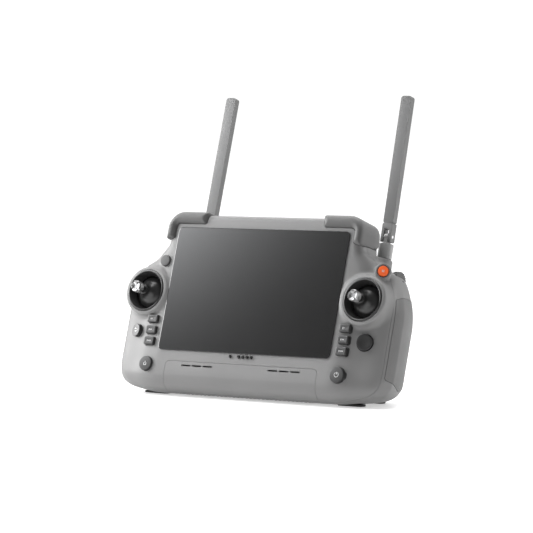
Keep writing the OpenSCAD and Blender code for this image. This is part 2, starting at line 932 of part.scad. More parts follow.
module left_dial() {
    color([0.2, 0.2, 0.2]) in_place() at_dial(LEFT) wheel(dial_r, dial_w, 24);
}

module right_dial() {
    color([0.2, 0.2, 0.2]) in_place() at_dial(RIGHT) wheel(dial_r, dial_w, 24);
}

module scroll_wheel() {
    color([0.2, 0.2, 0.2]) in_place() at_scroll() wheel(scroll_r, scroll_w, 20);
}

// Three-position flight mode switch, sliding across the left shoulder
mode_travel = 3;
module mode_slot() {
    block([-3 - mode_travel - gap, 3 + mode_travel + gap], [-2.8, 2.8], [-wall - 4, 8]);
}

module mode_switch() {
    color([0.25, 0.25, 0.25]) in_place() on_slope(mode_x, mode_t) {
        block([-3, 3], [-2.5, 2.5], [-under, 1.8]);
        block([-6, 6], [-4, 4], [-under - skirt, -under]);
    }
}

module rear_button_left() {
    color([0.25, 0.25, 0.25]) in_place() on_grip(LEFT, rear_x, rear_z)
        round_button(rear_r, 0.8, rear_depth);
}

module rear_button_right() {
    color([0.25, 0.25, 0.25]) in_place() on_grip(RIGHT, rear_x, rear_z)
        round_button(rear_r, 0.8, rear_depth);
}

// ---- antennas ----

knuckle_z = 42;
knuckle_r = 5.9;
knuckle_h = 12.5;
fold_z = 60.7;
fork_top = 71.5;
fork_t = 6.4;
tongue_w = 3.8;
pin_r = 1.25;

module antenna_place(side) {
    translate([side * antenna_x, antenna_y, 0]) children();
}

module antenna_boss(side) {
    antenna_place(side) {
        translate([0, 0, 12]) cylinder(r = knuckle_r + 1.4, h = knuckle_z - 0.4 - 12);
        block([-knuckle_r - 1.4, knuckle_r + 1.4], [back_y - antenna_y - 1, 0],
            [12, knuckle_z - 0.4]);
    }
}

module fold_axis(r, l) {
    translate([0, 0, fold_z]) rotate([0, 90, 0]) cylinder(r = r, h = l, center = true);
}

module antenna_knuckle() {
    difference() {
        union() {
            translate([0, 0, knuckle_z]) cylinder(r = knuckle_r, h = knuckle_h);
            translate([0, 0, knuckle_z - 7.8]) cylinder(r = 3, h = 10);
            block([-tongue_w / 2, tongue_w / 2], [-3, 3], [knuckle_z + knuckle_h - 1, fold_z]);
            fold_axis(3.4, tongue_w);
        }
        fold_axis(pin_r + 0.05, 20);
    }
}

// A long flat blade that ends in a fork round the knuckle's tongue
module antenna_blade(lean = 0) {
    translate([0, 0, fold_z]) rotate([lean, 0, 0]) translate([0, 0, -fold_z]) difference() {
        union() {
            block([-blade_w / 2, blade_w / 2], [-fork_t / 2, fork_t / 2], [fold_z, fork_top]);
            block([-blade_w / 2, blade_w / 2], [-fork_t / 2, fork_t / 2],
                [fold_z - 4.4, fold_z + 1]);
            translate([0, blade_t / 2, (fork_top + antenna_top) / 2]) rotate([90, 0, 0])
                linear_extrude(blade_t)
                polygon(outline(rounded_box(blade_w, antenna_top - fork_top, 2.2)));
        }
        block([-tongue_w / 2 - 0.4, tongue_w / 2 + 0.4], [-10, 10], [0, fold_z + 6.3]);
        fold_axis(pin_r, 20);
    }
}

module antenna_knuckle_left() {
    color([0.65, 0.65, 0.65]) in_place() antenna_place(LEFT) antenna_knuckle();
}

module antenna_knuckle_right() {
    color([0.65, 0.65, 0.65]) in_place() antenna_place(RIGHT) antenna_knuckle();
}

module antenna_blade_left() {
    color([0.5, 0.5, 0.5]) in_place() antenna_place(LEFT) antenna_blade();
}

module antenna_blade_right() {
    color([0.5, 0.5, 0.5]) in_place() antenna_place(RIGHT)
        antenna_blade(antenna_lean);
}

module antenna_pin_left() {
    color([0.8, 0.8, 0.8]) in_place() antenna_place(LEFT) fold_axis(pin_r, blade_w);
}

module antenna_pin_right() {
    color([0.8, 0.8, 0.8]) in_place() antenna_place(RIGHT) fold_axis(pin_r, blade_w);
}

front_shell();
rear_shell();
lower_panel();
cover_glass();
display_panel();
corner_bumpers();
grip_pads();
status_lights();
main_board();
button_boards();
heat_sink();
fan_frame();
fan_rotor();
internal_battery();
battery_pack();
battery_cover();
cover_latch();
speakers();
intake_grille();
port_cover();
mount_inserts();
case_screws();
feet();
gimbal_housings();
gimbal_yoke_left();
gimbal_yoke_right();
stick_left();
stick_right();
stick_dome_left();
stick_dome_right();
stick_cap_left();
stick_cap_right();
left_key_1();
left_key_2();
left_key_3();
right_key_1();
right_key_2();
right_key_3();
back_button();
home_button();
power_button();
authority_button();
pause_button();
five_way_frame();
five_way_rocker();
five_way_cap();
record_button();
shutter_button();
left_dial();
right_dial();
scroll_wheel();
mode_switch();
rear_button_left();
rear_button_right();
antenna_knuckle_left();
antenna_knuckle_right();
antenna_blade_left();
antenna_blade_right();
antenna_pin_left();
antenna_pin_right();
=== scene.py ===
"""The looks of the radio transmitter: moulded shells, rubber, glass, sticks and antennas.

Shapes are drawn in millimetres in the casing's own axes, with X to the right, Y from the screen to
the back and Z up the screen, then leaned back on to the ground like the CAD model.
"""

import math

import bmesh
import bpy
import numpy as np
from mathutils import Matrix, Vector
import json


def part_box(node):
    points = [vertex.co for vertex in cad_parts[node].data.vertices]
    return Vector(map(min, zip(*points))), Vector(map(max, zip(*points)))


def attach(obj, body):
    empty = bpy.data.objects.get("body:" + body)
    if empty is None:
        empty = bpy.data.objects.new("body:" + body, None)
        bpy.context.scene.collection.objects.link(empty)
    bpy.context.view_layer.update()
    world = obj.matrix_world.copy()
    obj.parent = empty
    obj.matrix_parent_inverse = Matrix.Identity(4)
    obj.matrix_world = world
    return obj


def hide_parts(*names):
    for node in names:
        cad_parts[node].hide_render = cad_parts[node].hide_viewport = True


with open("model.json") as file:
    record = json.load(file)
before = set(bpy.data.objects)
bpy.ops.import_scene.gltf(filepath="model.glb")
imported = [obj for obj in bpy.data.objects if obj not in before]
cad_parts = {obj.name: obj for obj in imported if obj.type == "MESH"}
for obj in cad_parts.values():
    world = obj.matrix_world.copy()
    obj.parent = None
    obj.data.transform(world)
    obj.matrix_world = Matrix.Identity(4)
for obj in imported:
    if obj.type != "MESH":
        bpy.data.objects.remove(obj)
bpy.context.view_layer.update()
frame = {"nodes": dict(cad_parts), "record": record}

# ---------------------------------------------------------------- places and sizes, in mm

TILT = math.radians(17.5)
GLASS_T = 1.4
LEFT, RIGHT = -1, 1
SIDES = {"left": LEFT, "right": RIGHT}

HALF_W = 134.0
CORE_W = 189.0
TOP_Z = 64.6
CROWN_Z = 36.5
BUMPER_Y = 34.0
BACK_Y = 42.5
GRIP_Y = 73.0
BASE_Z, BASE_Y = 88.0, 12.0
FRONT_Y = 0.6
PART_Y = 13.0
WALL = 2.2
FEET_H = 0.8
GROUND = -BASE_Z * math.cos(TILT) - BASE_Y * math.sin(TILT)
FLANK_X, EDGE_X, EDGE_Y = 101.0, HALF_W - 7, 9.5
FLANK_TURN = math.atan2(EDGE_Y - FRONT_Y, EDGE_X - FLANK_X)

STICK_X, STICK_Z = 106.0, -3.2
PIVOT = -18.0
RING_R = 17.5
DOME_R = 17.0
SHAFT_R = 3.2
CAP_R, CAP_H = 4.7, 7.0
STICK_LEN = 15.5

KEY_X, KEY_Z, KEY_PITCH = 93.9, -26.6, 9.35
BACK_X, BACK_Z = 111.7, -36.3
HOME_X, HOME_Z = 93.5, -64.3
PAUSE = (116.8, 6.2, 21.9)
PAUSE_TURN = math.radians(28)
# Wheels: place or share of the slope, radius and width
DIAL, DIAL_R, DIAL_W = (118, 28, 18.5), 8.5, 5.0
SCROLL, SCROLL_SINK, SCROLL_R, SCROLL_W = (93, 0.42), 3.6, 7.0, 6.0
SLOT_ROOM, SLOT_SPARE = 0.5, 0.6
MODE = (-105.5, 0.2)
TRIGGER = (108, 0.5)
REAR_BUTTON = (102, -22)
# Screw recesses and insert seats in the back: columns, rows, radius and depth
BACK_HOLE_X = 64
SCREW_ROWS, SCREW_R, SCREW_DEEP = (50, -64), 2.8, 3.0
INSERT_ROWS, INSERT_R, INSERT_DEEP = (12, -48), 3.1, 1.0
PAD_INSIDE, PAD_OUTSIDE = 95, 150
FLAP_DEEP = 1.4
ANTENNA_X, ANTENNA_Y = 88.5, 48.5

glass_low, glass_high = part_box("cover_glass")
BACKWARDS = Vector((0, math.cos(TILT), -math.sin(TILT)))
SCREEN = (glass_low + glass_high) / 2 - BACKWARDS * (GLASS_T / 2000)
LEANED = Matrix.Translation(SCREEN) @ Matrix.Rotation(-TILT, 4, "X") @ Matrix.Scale(0.001, 4)


def under_z(y):
    """Height of the casing's flat underside at depth y."""
    return (GROUND + FEET_H + y * math.sin(TILT)) / math.cos(TILT)


def flank_y(x):
    """Depth of the sloping flank beside the keys."""
    return FRONT_Y + (x - FLANK_X) * math.tan(FLANK_TURN)


# ---------------------------------------------------------------- outlines


def rounded(corners, grow=0.0, steps=8):
    """Points round a list of corners (x, y, radius), counter-clockwise, moved outwards by grow."""
    points = []
    count = len(corners)
    for i, (x, y, radius) in enumerate(corners):
        b = np.array([x, y], float)
        before = np.array(corners[i - 1][:2], float) - b
        after = np.array(corners[(i + 1) % count][:2], float) - b
        u, w = before / np.linalg.norm(before), after / np.linalg.norm(after)
        turn = 1 if u[1] * w[0] - u[0] * w[1] > 0 else -1
        half = math.acos(np.clip(u @ w, -1, 1)) / 2
        out = (u + w) / np.linalg.norm(u + w)
        arc = max(radius + turn * grow, 0.2)
        tip = b - turn * out * grow / math.sin(half)
        centre = tip + out * arc / math.sin(half)
        start = tip + u * arc / math.tan(half) - centre
        sweep = turn * (math.pi - 2 * half)
        for k in range(steps + 1):
            a = sweep * k / steps
            points.append(centre + [start[0] * math.cos(a) - start[1] * math.sin(a),
                                    start[0] * math.sin(a) + start[1] * math.cos(a)])
    return np.array(points)


def both_sides(right):
    return right + [(-x, y, r) for x, y, r in reversed(right)]


def box_outline(w, h, r, x=0.0, y=0.0):
    return [(x + w / 2, y - h / 2, r), (x + w / 2, y + h / 2, r),
            (x - w / 2, y + h / 2, r), (x - w / 2, y - h / 2, r)]


FRONT = both_sides([(HALF_W, -BASE_Z, 30), (HALF_W, -10, 30), (HALF_W - 12, 22, 9),
                    (HALF_W - 27, 28.5, 12), (CORE_W / 2 + 0.5, 38, 5), (CORE_W / 2, TOP_Z, 13)])
# The front outline alone ends the sides, so the section reaches past them
TIP = 6.0
SECTION = both_sides([(FLANK_X, FRONT_Y, 24), (EDGE_X, EDGE_Y, 10), (HALF_W + TIP, 20, 8),
                      (HALF_W + TIP, 25, 10), (HALF_W - 21, GRIP_Y - 4, 12), (HALF_W - 37, GRIP_Y, 10),
                      (84, 60, 8), (72, BACK_Y, 8)])
CROWN = both_sides([(CORE_W / 2 + 2, -30, 1), (CORE_W / 2 + 2, BACK_Y + 0.3, 27)])
SIDE = [(FRONT_Y, under_z(FRONT_Y), 16), (GRIP_Y, under_z(GRIP_Y), 14), (GRIP_Y, -8, 14),
        (BACK_Y, 27, 10), (BACK_Y, TOP_Z, 7), (FRONT_Y, TOP_Z, 5)]


# ---------------------------------------------------------------- smooth solids from distance fields


def polygon_distance(points, x, y):
    """Signed distance to a closed outline, negative inside, for any broadcast x and y."""
    x, y = np.broadcast_arrays(np.asarray(x, np.float32), np.asarray(y, np.float32))
    best = np.full(x.shape, 1e9, np.float32)
    inside = np.zeros(x.shape, bool)
    for (ax, ay), (bx, by) in zip(points, np.roll(points, -1, axis=0)):
        dx, dy = bx - ax, by - ay
        length2 = dx * dx + dy * dy
        if length2 < 1e-12:
            continue
        px, py = x - ax, y - ay
        t = np.clip((px * dx + py * dy) / length2, 0, 1)
        best = np.minimum(best, (px - t * dx) ** 2 + (py - t * dy) ** 2)
        crosses = (ay > y) != (by > y)
        if dy:
            inside ^= crosses & (x < ax + (y - ay) * dx / dy)
    best = np.sqrt(best)
    return np.where(inside, -best, best)


def smooth_max(a, b, k):
    h = np.maximum(k - np.abs(a - b), 0) / k
    return np.maximum(a, b) + h * h * k / 4


def smooth_min(a, b, k):
    return -smooth_max(-a, -b, k)


class Field:
    """A sampled distance field on a regular grid."""

    def __init__(self, low, high, step):
        self.low, self.step = np.array(low, float), step
        counts = [int(math.ceil((h - l) / step)) + 1 for l, h in zip(low, high)]
        axes = [l + step * np.arange(n) for l, n in zip(low, counts)]
        self.x = axes[0][:, None, None]
        self.y = axes[1][None, :, None]
        self.z = axes[2][None, None, :]
        self.values = None

    def at(self, points):
        """Trilinear value at points."""
        g = (points - self.low) / self.step
        top = np.array(self.values.shape) - 2
        i = np.clip(np.floor(g).astype(int), 0, top)
        t = g - i
        total = 0
        for cx in (0, 1):
            for cy in (0, 1):
                for cz in (0, 1):
                    weight = (np.where(cx, t[:, 0], 1 - t[:, 0]) * np.where(cy, t[:, 1], 1 - t[:, 1])
                              * np.where(cz, t[:, 2], 1 - t[:, 2]))
                    total = total + weight * self.values[i[:, 0] + cx, i[:, 1] + cy, i[:, 2] + cz]
        return total

    def surface(self, level=0.0):
        """Vertices and quads of the surface where the field has this level, faces outwards."""
        f = self.values - level
        inside = f < 0
        corner = [(a, b, c) for a in (0, 1) for b in (0, 1) for c in (0, 1)]
        nx, ny, nz = f.shape
        count = np.zeros((nx - 1, ny - 1, nz - 1), np.int8)
        for a, b, c in corner:
            count += inside[a:nx - 1 + a, b:ny - 1 + b, c:nz - 1 + c]
        active = (count > 0) & (count < 8)
        cells = np.argwhere(active)
        index = np.full(active.shape, -1, np.int64)
        index[active] = np.arange(len(cells))
        total = np.zeros((len(cells), 3))
        hits = np.zeros(len(cells))
        for axis in range(3):
            step = np.eye(3, dtype=int)[axis]
            for a, b, c in corner:
                if (a, b, c)[axis]:
                    continue
                near = cells + (a, b, c)
                far = near + step
                fa = f[near[:, 0], near[:, 1], near[:, 2]]
                fb = f[far[:, 0], far[:, 1], far[:, 2]]
                cut = (fa < 0) != (fb < 0)
                t = np.where(cut, fa / np.where(cut, fa - fb, 1), 0)
                total += np.where(cut[:, None], near + t[:, None] * step, 0)
                hits += cut
        points = self.low + self.step * total / hits[:, None]
        quads = []
        for axis in range(3):
            u, v = [k for k in range(3) if k != axis]
            lo = [slice(None)] * 3
            hi = [slice(None)] * 3
            lo[axis], hi[axis] = slice(0, f.shape[axis] - 1), slice(1, f.shape[axis])
            a, b = inside[tuple(lo)], inside[tuple(hi)]
            where = np.argwhere(a != b)
            where = where[(where[:, u] > 0) & (where[:, v] > 0)]
            where = where[(where[:, u] < f.shape[u] - 1) & (where[:, v] < f.shape[v] - 1)]
            first = a[where[:, 0], where[:, 1], where[:, 2]]
            ring = []
            for du, dv in ((-1, -1), (0, -1), (0, 0), (-1, 0)):
                cell = where.copy()
                cell[:, u] += du
                cell[:, v] += dv
                ring.append(index[cell[:, 0], cell[:, 1], cell[:, 2]])
            quad = np.stack(ring, axis=1)
            flip = first if axis != 1 else ~first
            quad[~flip] = quad[~flip][:, ::-1]
            quads.append(quad)
        for _ in range(3):
            e = self.step * 0.5
            grad = np.stack([self.at(points + d) - self.at(points - d)
                             for d in np.eye(3) * e], axis=1) / (2 * e)
            off = self.at(points) - level
            size = np.maximum((grad ** 2).sum(1), 0.2)
            points = points - (off / size)[:, None] * grad
        return points, np.concatenate(quads)


def capsule_z(x, y, z, cx, cy, r, z0, z1):
    """Distance to an upright cylinder."""
    across = np.sqrt((x - cx) ** 2 + (y - cy) ** 2) - r
    along = np.maximum(z0 - z, z - z1)
    return smooth_max(across + 0 * z, along + 0 * x, 1.5)


def collar(x, y, z, place, normal, r, depth, top, k=1.5):
    """Distance to a short cylinder that stands on the surface along normal."""
    px, py, pz = x - place[0], y - place[1], z - place[2]
    along = px * normal[0] + py * normal[1] + pz * normal[2]
    across = np.sqrt(np.maximum(px * px + py * py + pz * pz - along * along, 0)) - r
    return smooth_max(across, np.maximum(along - top, -depth - along), k)


def body_values(g):
    """The casing's outer form on grid g: three outlines blended, with its collars and bosses."""
    front = polygon_distance(rounded(FRONT), g.x, g.z)
    section = polygon_distance(rounded(SECTION), g.x, g.y)
    side = polygon_distance(rounded(SIDE), g.y, g.z)
    out = np.clip((np.abs(g.x) - 82) / 30, 0, 1)
    soft = 5 + 11 * out * out * (3 - 2 * out)
    form = smooth_max(smooth_max(front, section, soft), side, soft)
    crown = polygon_distance(rounded(CROWN), g.x, g.y)
    form = smooth_max(form, smooth_min(crown + 0 * g.z, g.z - CROWN_Z + 0 * crown, 8), 4)
    for sign in (LEFT, RIGHT):
        ring = collar(g.x, g.y, g.z, (sign * STICK_X, 0, STICK_Z), (0, -1, 0), RING_R + 3.0, 14,
                      -0.1, 2.2)
        form = smooth_min(form, ring, 4.5)
        boss = capsule_z(g.x, g.y, g.z, sign * ANTENNA_X, ANTENNA_Y, 7.2, 10, 41.6)
        form = smooth_min(form, boss, 7)
    normal = (math.sin(PAUSE_TURN), -math.cos(PAUSE_TURN), 0)
    pause = collar(g.x, g.y, g.z, PAUSE, normal, 6.6, 8, 0.7, 0.8)
    return smooth_min(form, pause, 1.6).astype(np.float32)


BUMPER_X, BUMPER_TOP = CORE_W / 2 + 1.5, TOP_Z + 0.9
BUMPER = [(58, 54.9, 2), (87.2, 54.9, 3), (87.2, 42.4, 2), (BUMPER_X, 40.2, 2),
          (BUMPER_X, BUMPER_TOP, 15), (56.0, BUMPER_TOP, 2)]


# ---------------------------------------------------------------- mesh helpers


def leaned(points):
    m = np.array(LEANED)
    return np.asarray(points, float) @ m[:3, :3].T + m[:3, 3]


def make(name, points, faces, in_casing=True):
    """A mesh object from points in casing millimetres."""
    mesh = bpy.data.meshes.new(name)
    mesh.from_pydata((leaned(points) if in_casing else np.asarray(points)).tolist(), [],
                     [list(map(int, f)) for f in faces])
    mesh.validate()
    obj = bpy.data.objects.new(name, mesh)
    bpy.context.scene.collection.objects.link(obj)
    return obj


def loft(rings, closed=False):
    """Points and faces through rings of equally many points, capped at both ends."""
    n = len(rings[0])
    points = np.concatenate(rings)
    faces = []
    count = len(rings)
    for i in range(count if closed else count - 1):
        j = (i + 1) % count
        for k in range(n):
            m = (k + 1) % n
            faces.append((i * n + k, i * n + m, j * n + m, j * n + k))
    if not closed:
        faces.append(tuple(range(n))[::-1])
        faces.append(tuple((count - 1) * n + k for k in range(n)))
    return points, faces


def facing(outline, depth):
    """An outline in X and Z at a depth behind the screen."""
    return np.column_stack([outline[:, 0], np.full(len(outline), depth), outline[:, 1]])


def front_prism(corners, levels, steps=8):
    """Rings of an outline seen from the front, at each (depth, grow)."""
    return loft([facing(rounded(corners, grow, steps), y) for y, grow in levels])


def block(x, y, z):
    flat = np.array([(x[1], y[0]), (x[1], y[1]), (x[0], y[1]), (x[0], y[0])])
    return loft([np.column_stack([flat, np.full(4, h)]) for h in z])


def placed(points, place, turn=0.0, lift=0.0):
    """Points drawn with Z out of a front surface, put at place and turned about the upright axis."""
    p = np.asarray(points, float)
    local = np.column_stack([p[:, 0], -p[:, 2], p[:, 1]])
    c, s = math.cos(turn), math.sin(turn)
    turned = np.column_stack([local[:, 0] * c - local[:, 1] * s,
                              local[:, 0] * s + local[:, 1] * c, local[:, 2]])
    return turned + np.array(place) + np.array((0, 0, lift))


def lathe(profile, segments=64):
    """Points and faces of a profile (radius, height) turned about Z. Radius 0 closes an end."""
    points, faces, rings = [], [], []
    for r, z in profile:
        if r < 1e-6:
            rings.append([len(points)])
            points.append((0, 0, z))
        else:
            rings.append(list(range(len(points), len(points) + segments)))
            for k in range(segments):
                a = 2 * math.pi * k / segments
                points.append((r * math.cos(a), r * math.sin(a), z))
    pairs = list(zip(rings, rings[1:]))
    if profile[0] == profile[-1]:
        pairs = pairs[:-1] + [(rings[-2], rings[0])]
        points = points[:rings[-1][0]]
    for a, b in pairs:
        for k in range(segments):
            m = (k + 1) % segments
            if len(a) == 1 and len(b) > 1:
                faces.append((a[0], b[m], b[k]))
            elif len(b) == 1 and len(a) > 1:
                faces.append((a[k], a[m], b[0]))
            elif len(a) > 1:
                faces.append((a[k], a[m], b[m], b[k]))
    return np.array(points, float), faces


def outwards(obj):
    """Turns every face outwards."""
    bm = bmesh.new()
    bm.from_mesh(obj.data)
    bmesh.ops.remove_doubles(bm, verts=bm.verts, dist=1e-7)
    bmesh.ops.recalc_face_normals(bm, faces=bm.faces)
    if bm.calc_volume(signed=True) < 0:
        bmesh.ops.reverse_faces(bm, faces=bm.faces)
    bm.to_mesh(obj.data)
    bm.free()
    return obj


def applied(obj):
    """Applies an object's modifiers to its mesh."""
    bpy.context.view_layer.update()
    mesh = bpy.data.meshes.new_from_object(obj.evaluated_get(bpy.context.evaluated_depsgraph_get()))
    obj.modifiers.clear()
    old = obj.data
    obj.data = mesh
    bpy.data.meshes.remove(old)
    return obj


def carve(obj, cutter, operation="DIFFERENCE", keep=False):
    m = obj.modifiers.new("carve", "BOOLEAN")
    m.solver, m.operation, m.object = "MANIFOLD", operation, cutter
    applied(obj)
    if not keep:
        bpy.data.objects.remove(cutter)
    return obj


def cutter(shape):
    return outwards(make("cutter", *shape))


def moved_cutter(shape, place):
    m = np.array(place)
    return cutter((shape[0] @ m[:3, :3].T + m[:3, 3], shape[1]))


def shade(obj, angle=32):
    """Smooth shading with crisp edges above an angle, in degrees."""
    mesh = obj.data
    mesh.shade_smooth()
    bm = bmesh.new()
    bm.from_mesh(mesh)
    limit = math.radians(angle)
    for e in bm.edges:
        e.smooth = len(e.link_faces) != 2 or e.calc_face_angle(0) < limit
    bm.to_mesh(mesh)
    bm.free()
    return obj


def finished(obj, material, body, nodes=(), angle=32):
    """Gives a piece its material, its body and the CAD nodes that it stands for."""
    obj.data.materials.clear()
    obj.data.materials.append(material)
    shade(obj, angle)
    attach(obj, body)
    if nodes:
        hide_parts(*nodes)
    return obj


def body_of_node(node):
    for body, members in frame["record"]["behaviour"]["bodies"].items():
        if node in members:
            return body
    return None


def softened(node, material, width=0.3, segments=2, name=None, sharp=30):
    """A copy of a CAD node with its edges rounded, which stands for it."""
    source = frame["nodes"][node]
    obj = bpy.data.objects.new(name or node + "_piece", source.data.copy())
    bpy.context.scene.collection.objects.link(obj)
    bm = bmesh.new()
    bm.from_mesh(obj.data)
    bmesh.ops.remove_doubles(bm, verts=bm.verts, dist=2e-6)
    bmesh.ops.dissolve_limit(bm, angle_limit=math.radians(0.6), verts=bm.verts, edges=bm.edges)
    edges = [e for e in bm.edges if len(e.link_faces) == 2
             and e.calc_face_angle(0) > math.radians(sharp)]
    bmesh.ops.bevel(bm, geom=edges, offset=width / 1000, segments=segments, profile=0.6,
                    affect="EDGES", clamp_overlap=True)
    bm.to_mesh(obj.data)
    bm.free()
    return finished(obj, material, body_of_node(node), [node], 40)


# ---------------------------------------------------------------- materials


def nodes_of(name):
    mat = bpy.data.materials.new(name)
    mat.use_nodes = True
    tree = mat.node_tree
    return mat, tree, tree.nodes["Principled BSDF"]


def link(tree, a, out, b, into):
    tree.links.new(a.outputs[out], b.inputs[into])


def noise(tree, scale, detail=4.0, roughness=0.5):
    coords = tree.nodes.new("ShaderNodeTexCoord")
    tex = tree.nodes.new("ShaderNodeTexNoise")
    tex.inputs["Scale"].default_value = scale
    tex.inputs["Detail"].default_value = detail
    tex.inputs["Roughness"].default_value = roughness
    link(tree, coords, "Object", tex, "Vector")
    return tex


def ramp(tree, source, out, stops):
    r = tree.nodes.new("ShaderNodeValToRGB")
    r.color_ramp.elements[0].position, r.color_ramp.elements[1].position = stops[0][0], stops[-1][0]
    r.color_ramp.elements[0].color, r.color_ramp.elements[1].color = stops[0][1], stops[-1][1]
    link(tree, source, out, r, "Fac")
    return r


def grey(value, warm=0.0):
    return (value * (1 + warm), value, value * (1 - warm), 1)


def moulded(name, color, rough=0.5, grain=2600.0, bump=0.06, vary=0.06, spread=0.06, sheen=0.0,
            specular=0.5, coat=0.0):
    """Moulded or painted plastic: fine grain, slow colour drift and uneven gloss."""
    mat, tree, shader = nodes_of(name)
    shader.inputs["Specular IOR Level"].default_value = specular
    shader.inputs["Coat Weight"].default_value = coat
    shader.inputs["Sheen Weight"].default_value = sheen
    slow = noise(tree, 14, 3)
    low = tuple(c * (1 - vary) for c in color[:3]) + (1,)
    high = tuple(min(c * (1 + vary), 1) for c in color[:3]) + (1,)
    link(tree, ramp(tree, slow, "Fac", [(0.3, low), (0.7, high)]), "Color", shader, "Base Color")
    patch = noise(tree, 90, 5)
    rough_map = tree.nodes.new("ShaderNodeMapRange")
    rough_map.inputs["To Min"].default_value = rough - spread
    rough_map.inputs["To Max"].default_value = rough + spread
    link(tree, patch, "Fac", rough_map, "Value")
    link(tree, rough_map, "Result", shader, "Roughness")
    fine = noise(tree, grain, 2)
    b = tree.nodes.new("ShaderNodeBump")
    b.inputs["Strength"].default_value = bump
    b.inputs["Distance"].default_value = 0.0002
    link(tree, fine, "Fac", b, "Height")
    link(tree, b, "Normal", shader, "Normal")
    return mat


def pebbled(name, color, rough=0.62, cell=1500.0, bump=0.35):
    """Textured rubber: small rounded pebbles."""
    mat, tree, shader = nodes_of(name)
    coords = tree.nodes.new("ShaderNodeTexCoord")
    cells = tree.nodes.new("ShaderNodeTexVoronoi")
    cells.feature = "SMOOTH_F1"
    cells.inputs["Scale"].default_value = cell
    link(tree, coords, "Object", cells, "Vector")
    slow = noise(tree, 30, 4)
    low, high = tuple(c * 0.9 for c in color[:3]) + (1,), tuple(c * 1.1 for c in color[:3]) + (1,)
    link(tree, ramp(tree, slow, "Fac", [(0.3, low), (0.7, high)]), "Color", shader, "Base Color")
    shader.inputs["Roughness"].default_value = rough
    shader.inputs["Specular IOR Level"].default_value = 0.35
    b = tree.nodes.new("ShaderNodeBump")
    b.invert = True
    b.inputs["Strength"].default_value = bump
    b.inputs["Distance"].default_value = 0.0003
    link(tree, cells, "Distance", b, "Height")
    link(tree, b, "Normal", shader, "Normal")
    return mat


def metal(name, color, rough=0.25, scratch=900.0, bump=0.08):
    mat, tree, shader = nodes_of(name)
    shader.inputs["Metallic"].default_value = 1.0
    slow = noise(tree, 240, 3)
    low, high = tuple(c * 0.85 for c in color[:3]) + (1,), tuple(color[:3]) + (1,)
    link(tree, ramp(tree, slow, "Fac", [(0.35, low), (0.65, high)]), "Color", shader, "Base Color")
    rough_map = tree.nodes.new("ShaderNodeMapRange")
    rough_map.inputs["To Min"].default_value = rough - 0.08
    rough_map.inputs["To Max"].default_value = rough + 0.1
    fine = noise(tree, scratch, 4)
    link(tree, fine, "Fac", rough_map, "Value")
    link(tree, rough_map, "Result", shader, "Roughness")
    b = tree.nodes.new("ShaderNodeBump")
    b.inputs["Strength"].default_value = bump
    b.inputs["Distance"].default_value = 0.0001
    link(tree, fine, "Fac", b, "Height")
    link(tree, b, "Normal", shader, "Normal")
    return mat


def screen_glass():
    """Dark cover glass over a display that is off, with the faintest smears."""
    mat, tree, shader = nodes_of("screen_glass")
    shader.inputs["IOR"].default_value = 1.52
    shader.inputs["Specular IOR Level"].default_value = 0.6
    slow = noise(tree, 9, 2)
    link(tree, ramp(tree, slow, "Fac", [(0.3, grey(0.011)), (0.7, grey(0.014))]), "Color", shader,
         "Base Color")
    smear = noise(tree, 60, 5)
    rough_map = tree.nodes.new("ShaderNodeMapRange")
    rough_map.inputs["To Min"].default_value = 0.04
    rough_map.inputs["To Max"].default_value = 0.085
    link(tree, smear, "Fac", rough_map, "Value")
    link(tree, rough_map, "Result", shader, "Roughness")
    return mat


paint = moulded("shell_paint", grey(0.152, 0.004), rough=0.5, bump=0.05)
bumper_mat = moulded("bumper_rubber", grey(0.065, 0.006), rough=0.58, bump=0.12, sheen=0.15)
pad_mat = pebbled("grip_rubber", grey(0.13, 0.004))
charcoal = moulded("charcoal_plastic", grey(0.018), rough=0.42, bump=0.05)
authority_mat = moulded("authority_plastic", grey(0.045), rough=0.5)
orange = moulded("pause_plastic", (0.88, 0.13, 0.022, 1), rough=0.36, bump=0.03, coat=0.2)
gimbal_mat = moulded("gimbal_plastic", grey(0.016), rough=0.34, bump=0.04, spread=0.08)
dome_mat = moulded("dome_plastic", grey(0.012), rough=0.3, bump=0.03)
silver = metal("stick_metal", (0.34, 0.34, 0.34), rough=0.3)
steel = metal("steel", (0.55, 0.55, 0.56), rough=0.35)
brass = metal("brass", (0.75, 0.55, 0.24), rough=0.3)
alloy = metal("heat_sink", (0.7, 0.7, 0.72), rough=0.4)
knuckle_mat = moulded("knuckle_metal", grey(0.26), rough=0.4, bump=0.04)
antenna_mat = moulded("antenna_plastic", grey(0.112), rough=0.48, bump=0.05)
black = moulded("black_plastic", grey(0.02), rough=0.45)
grille_mat = moulded("grille_plastic", grey(0.05), rough=0.5)
foot_mat = pebbled("foot_rubber", grey(0.03))
board_mat = moulded("circuit_board", (0.02, 0.1, 0.05, 1), rough=0.35)
cell_mat = moulded("battery_wrap", (0.03, 0.06, 0.14, 1), rough=0.4)
mark_mat = moulded("mark_paint", grey(0.62), rough=0.5, vary=0.02)
window_mat = moulded("light_window", grey(0.012), rough=0.15)
glass_mat = screen_glass()


# ---------------------------------------------------------------- shells

STEP = 1.05
casing = Field((-138, -4, -96), (138, 78, 68), STEP)
casing.values = body_values(casing)


def casing_surface(name, level=0.0):
    return outwards(make(name, *casing.surface(level)))


outer = casing_surface("outer")
inner = casing_surface("inner", -WALL)

GAP = 0.12
GLASS = box_outline(168, 104, 4)
PANEL = [(74.2, -125, 1), (74.2, -60.6, 4), (-74.2, -60.6, 4), (-74.2, -125, 1)]
PAD = [(15, -63, 2), (40, -67, 3), (64, -62, 3), (92, -50, 1), (92, -2, 1), (46, 8, 3),
       (24, 5, 3), (15, 1, 2)]
BAY = box_outline(100, 66, 5, 0, -24)
BAY_LEDGE = box_outline(112, 76, 8, 0, -24)


